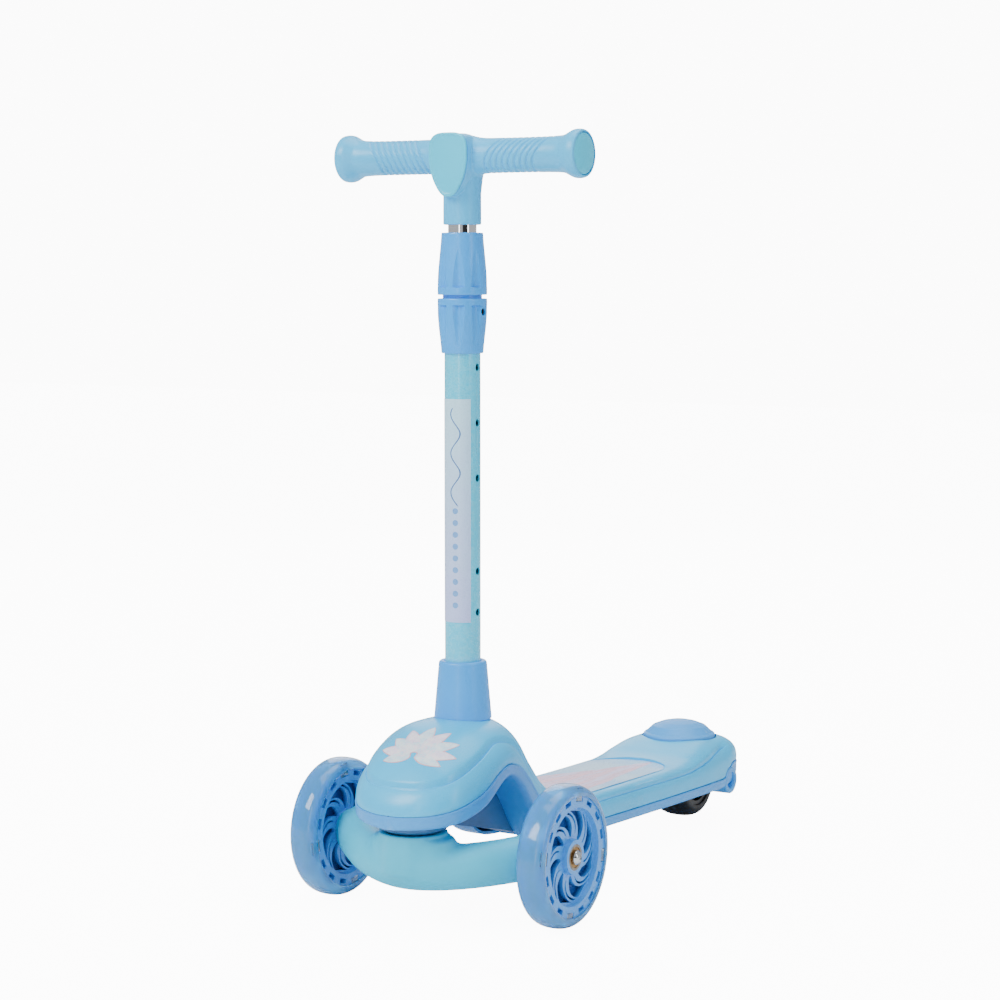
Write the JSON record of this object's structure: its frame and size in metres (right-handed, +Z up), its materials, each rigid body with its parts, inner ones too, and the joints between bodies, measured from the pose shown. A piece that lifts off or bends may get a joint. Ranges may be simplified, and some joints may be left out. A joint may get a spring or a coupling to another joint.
{
  "type": "kick scooter",
  "caption": "Small child's lean-to-steer kick scooter: flat deck with a domed nose, bowed front beam with clear wheels, telescoping stem with a T handlebar, and a rear pedal brake.",
  "frame": {"origin": "on the ground, under the middle of the overall length and width", "axes": "+Z up, -Y is the direction of travel, +X is the rider's left"},
  "size_m": [0.2578, 0.577, 0.6572],
  "materials": {
    "aqua_shell": "satin moulded plastic",
    "blue_plastic": "satin moulded plastic",
    "beam_plastic": "satin moulded plastic",
    "tube_paint": "gloss powder coat",
    "grip_plastic": "satin moulded plastic",
    "bright_cyan": "satin",
    "chrome": "polished",
    "zinc_steel": "zinc plated",
    "bearing_steel": "oiled",
    "clear_tyre": "clear cast polyurethane",
    "wheel_blue": "moulded plastic",
    "light_module": "clear moulded plastic",
    "black_rubber": "matt",
    "black_plastic": "satin",
    "printed_sticker": "printed film"
  },
  "bodies": {
    "chassis": {"deck_top_shell": "aqua_shell", "deck_bottom_shell": "blue_plastic", "neck_frame": "blue_plastic", "deck_screws": "zinc_steel", "deck_sticker": "printed_sticker", "base_collar": "blue_plastic", "outer_tube": "tube_paint", "tube_label": "printed_sticker", "fixed_collar": "blue_plastic", "clamp_collet": "black_plastic", "kingpin_bolt": "zinc_steel", "kingpin_nut": "zinc_steel", "centring_spring": "zinc_steel", "rear_axle": "zinc_steel", "rear_axle_nut": "zinc_steel", "rear_washers": "black_plastic", "brake_pin": "zinc_steel", "brake_spring": "zinc_steel"},
    "clamp_ring": {"clamp_nut": "blue_plastic"},
    "handlebar": {"inner_tube": "chrome", "guide_bush": "black_plastic", "button_spring": "zinc_steel", "t_bar": "grip_plastic", "t_bar_badge": "bright_cyan", "end_cap_left": "bright_cyan", "end_cap_right": "bright_cyan", "t_bar_rivet": "zinc_steel"},
    "snap_button": {"height_button": "black_plastic"},
    "steering_beam": {"front_beam": "beam_plastic", "kingpin_bush": "black_plastic", "front_axle_left": "chrome", "front_axle_right": "chrome", "axle_washer_left": "black_plastic", "axle_washer_right": "black_plastic"},
    "front_wheel_left": {"front_tyre_left": "clear_tyre", "front_hub_left": "wheel_blue", "front_bearings_left": "bearing_steel", "front_spacer_left": "black_plastic", "front_lights_left": "light_module"},
    "front_wheel_right": {"front_tyre_right": "clear_tyre", "front_hub_right": "wheel_blue", "front_bearings_right": "bearing_steel", "front_spacer_right": "black_plastic", "front_lights_right": "light_module"},
    "rear_wheel": {"rear_tyre": "black_rubber", "rear_hub": "black_plastic", "rear_bearings": "bearing_steel", "rear_spacer": "black_plastic"},
    "brake": {"brake_pedal": "blue_plastic", "brake_shoe": "zinc_steel"}
  },
  "joints": [
    {"name": "lean_steer", "type": "hinge", "parent": "chassis", "child": "steering_beam", "pos_m": [0, -0.2485, 0.135], "axis": [0, -0.1736, 0.9848], "range_deg": [-15, 15], "stiffness_Nm_per_rad": 8},
    {"name": "front_wheel_left_spin", "type": "hinge", "parent": "steering_beam", "child": "front_wheel_left", "pos_m": [0.112, -0.1945, 0.06], "axis": [1, 0, 0], "continuous": true},
    {"name": "front_wheel_right_spin", "type": "hinge", "parent": "steering_beam", "child": "front_wheel_right", "pos_m": [-0.112, -0.1945, 0.06], "axis": [1, 0, 0], "continuous": true},
    {"name": "rear_wheel_spin", "type": "hinge", "parent": "chassis", "child": "rear_wheel", "pos_m": [0, 0.2465, 0.04], "axis": [1, 0, 0], "continuous": true},
    {"name": "bar_height", "type": "slide", "parent": "chassis", "child": "handlebar", "axis": [0, 0, 1], "range_m": [0, 0.1401]},
    {"name": "clamp_turn", "type": "hinge", "parent": "chassis", "child": "clamp_ring", "pos_m": [0, -0.17, 0.5385], "axis": [0, 0, -1], "range_deg": [0, 90]},
    {"name": "button_press", "type": "slide", "parent": "handlebar", "child": "snap_button", "axis": [1, 0, 0], "range_m": [0, 0.004], "stiffness_N_per_m": 200},
    {"name": "brake_press", "type": "hinge", "parent": "chassis", "child": "brake", "pos_m": [0, 0.194, 0.068], "axis": [-1, 0, 0], "range_deg": [0, 3], "stiffness_Nm_per_rad": 6}
  ]
}
